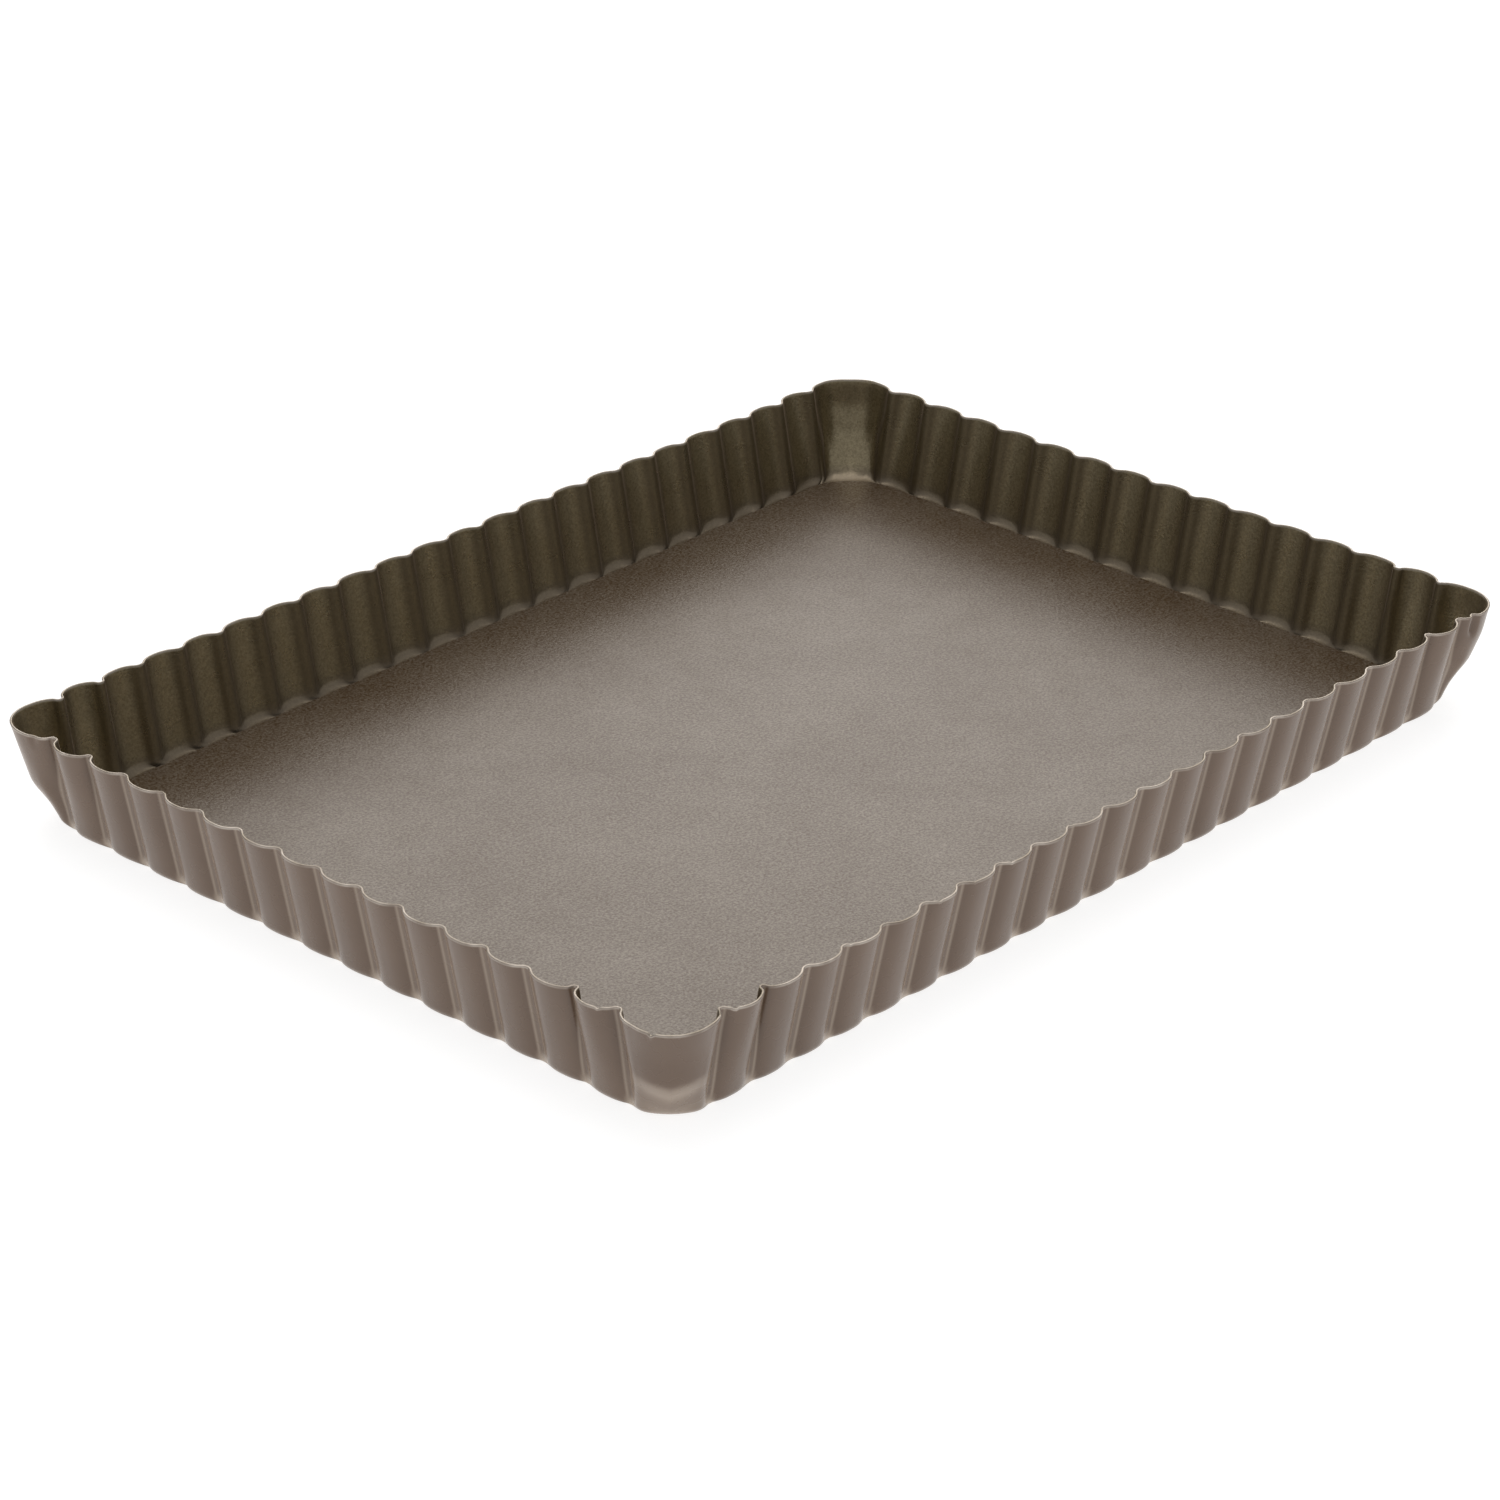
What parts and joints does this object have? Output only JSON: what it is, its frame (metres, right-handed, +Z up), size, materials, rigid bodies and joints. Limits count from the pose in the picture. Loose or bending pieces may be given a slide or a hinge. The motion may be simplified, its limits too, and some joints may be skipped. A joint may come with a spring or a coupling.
{
  "type": "rectangular tart pan with loose base",
  "caption": "Shallow rectangular baking pan: a flared ring with fluted walls and rounded corner flutes, and a flat loose base plate that lifts out of it.",
  "frame": {"origin": "centre of the ring's underside, on the surface that the pan stands on", "axes": "+Z up out of the pan's open side, +X along the long side, +Y along the short side"},
  "size_m": [0.29, 0.2114, 0.0252],
  "materials": {
    "ring_coating": "satin grey-brown non-stick coating on steel sheet",
    "base_coating": "fine-grained satin grey-brown non-stick coating on steel sheet"
  },
  "bodies": {
    "ring": {"fluted_ring": "ring_coating"},
    "base": {"loose_base": "base_coating"}
  },
  "joints": [
    {"name": "base_lift", "type": "slide", "parent": "ring", "child": "base", "axis": [0, 0, 1], "range_m": [0, 0.04]}
  ]
}
